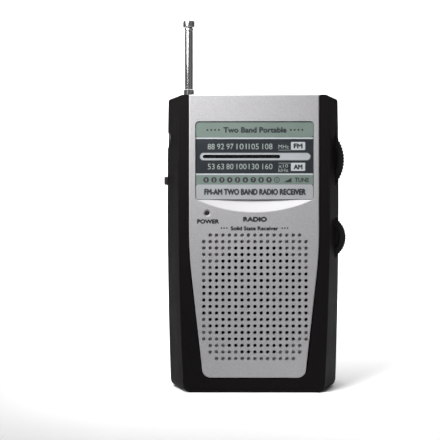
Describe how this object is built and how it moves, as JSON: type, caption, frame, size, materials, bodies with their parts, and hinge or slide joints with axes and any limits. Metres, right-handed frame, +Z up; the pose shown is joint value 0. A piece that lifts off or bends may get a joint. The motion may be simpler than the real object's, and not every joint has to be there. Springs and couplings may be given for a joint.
{
  "type": "transistor pocket radio",
  "caption": "Upright two-band pocket radio: black two-part case, silver front with dial and pierced speaker grille, side thumbwheels, telescopic antenna, rear battery door.",
  "frame": {"origin": "on the flat base, midway across the case, at the middle of its depth", "axes": "+Z up along the case's height, +Y from the front to the back, +X to the right when looking at the front"},
  "size_m": [0.0661, 0.0263, 0.136],
  "materials": {
    "cabinet": "black moulded styrene, satin",
    "panel": "fine metallic silver lacquer",
    "dial": "screen-printed dial plate",
    "clear": "clear window strip",
    "cloth": "black speaker scrim",
    "chrome": "polished chrome",
    "steel": "zinc-plated steel",
    "black_moulding": "black moulding",
    "white_moulding": "natural acetal",
    "red": "red",
    "board": "phenolic paper laminate",
    "chip": "moulded epoxy",
    "can": "drawn can",
    "sleeve": "shrink sleeve",
    "ferrite": "sintered ferrite",
    "winding": "enamelled copper winding",
    "paper_cone": "pressed paper",
    "cell": "printed cell jacket",
    "brass": "turned brass"
  },
  "bodies": {
    "case": {"front_cabinet": "cabinet", "rear_cabinet": "cabinet", "case_screws": "steel", "front_panel": "panel", "dial_plate": "dial", "dial_window": "clear", "speaker_cloth": "cloth", "power_lamp": "red", "tuning_capacitor": "white_moulding", "idler_pin": "steel", "dial_bracket": "black_moulding", "dial_bracket_screws": "steel", "volume_control": "steel", "band_switch": "steel", "speaker_basket": "steel", "speaker_cone": "paper_cone", "speaker_dust_cap": "paper_cone", "speaker_magnet": "steel", "earphone_jack": "black_moulding", "circuit_board": "board", "circuit_board_screws": "steel", "receiver_chip": "chip", "tuned_transformers": "can", "tuning_slugs": "ferrite", "electrolytic_capacitors": "sleeve", "ferrite_rod": "ferrite", "ferrite_coil": "winding", "ferrite_clips": "white_moulding", "antenna_outer_tube": "chrome", "antenna_bracket": "steel", "antenna_screw": "steel", "left_cell": "cell", "right_cell": "cell", "left_spring": "steel", "right_spring": "steel", "battery_contacts": "steel", "battery_bridge": "steel"},
    "tuning": {"tuning_wheel": "black_moulding", "tuning_shaft": "brass", "tuning_wheel_screw": "steel"},
    "idler": {"idler_gear": "white_moulding"},
    "pointer": {"pointer_rack": "black_moulding", "pointer_needle": "red"},
    "volume": {"volume_wheel": "black_moulding", "volume_screw": "steel"},
    "band_switch_slider": {"band_switch_knob": "black_moulding"},
    "door": {"battery_door": "cabinet"},
    "antenna_middle": {"antenna_middle_tube": "chrome"},
    "antenna_inner": {"antenna_inner_tube": "chrome"},
    "antenna_tip": {"antenna_rod": "chrome", "antenna_knob": "chrome"}
  },
  "joints": [
    {"name": "tuning_wheel_turn", "type": "hinge", "parent": "case", "child": "tuning", "pos_m": [0.019, -0.004, 0.0825], "axis": [0, 1, 0], "range_deg": [-12.7, 163.9]},
    {"name": "idler_turn", "type": "hinge", "parent": "case", "child": "idler", "pos_m": [0.0016, -0.008, 0.07983], "axis": [0, 1, 0], "range_deg": [-114, 9]},
    {"name": "pointer_slide", "type": "slide", "parent": "case", "child": "pointer", "axis": [1, 0, 0], "range_m": [-0.02065, 0.00165]},
    {"name": "volume_wheel_turn", "type": "hinge", "parent": "case", "child": "volume", "pos_m": [0.0251, -0.004, 0.0546], "axis": [0, 1, 0], "range_deg": [-60, 210]},
    {"name": "band_switch_slide", "type": "slide", "parent": "case", "child": "band_switch_slider", "axis": [0, 0, 1], "range_m": [0, 0.003]},
    {"name": "battery_door_slide", "type": "slide", "parent": "case", "child": "door", "axis": [0, 0, -1], "range_m": [0, 0.056]},
    {"name": "antenna_middle_slide", "type": "slide", "parent": "case", "child": "antenna_middle", "axis": [0, 0, 1], "range_m": [-0.0215, 0.0465]},
    {"name": "antenna_inner_slide", "type": "slide", "parent": "antenna_middle", "child": "antenna_inner", "axis": [0, 0, 1], "range_m": [0, 0.065]},
    {"name": "antenna_rod_slide", "type": "slide", "parent": "antenna_inner", "child": "antenna_tip", "axis": [0, 0, 1], "range_m": [0, 0.062]}
  ],
  "couplings": [
    {"joint": "idler_turn", "follows": "tuning_wheel_turn", "ratio": -0.69231},
    {"joint": "pointer_slide", "follows": "tuning_wheel_turn", "m_per_rad": -0.0072}
  ]
}
